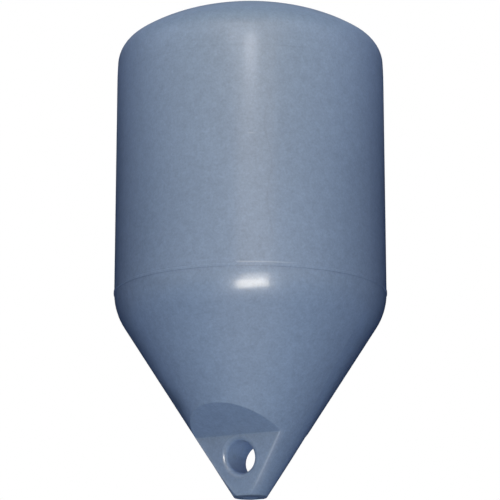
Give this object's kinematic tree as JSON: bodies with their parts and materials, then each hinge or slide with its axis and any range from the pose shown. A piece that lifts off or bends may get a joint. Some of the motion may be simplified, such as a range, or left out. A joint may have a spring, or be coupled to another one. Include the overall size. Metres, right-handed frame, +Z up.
{
  "type": "navigation buoy",
  "caption": "Moulded marker buoy with a domed cylindrical top, a conical base and a pierced mooring lug at its tip.",
  "frame": {"origin": "on the buoy's axis at the seam of its two shells, which is the waterline when it is moored", "axes": "+Z up along the buoy's axis, towards the dome; +Y along the mooring eye's bore"},
  "size_m": [0.4016, 0.4016, 0.7317],
  "materials": {
    "shell_blue": "semi-gloss moulded polyethylene",
    "plug_blue": "satin moulded polyethylene"
  },
  "bodies": {
    "root": {"upper_shell": "shell_blue", "lower_shell": "shell_blue", "filler_plug": "plug_blue"}
  },
  "joints": []
}
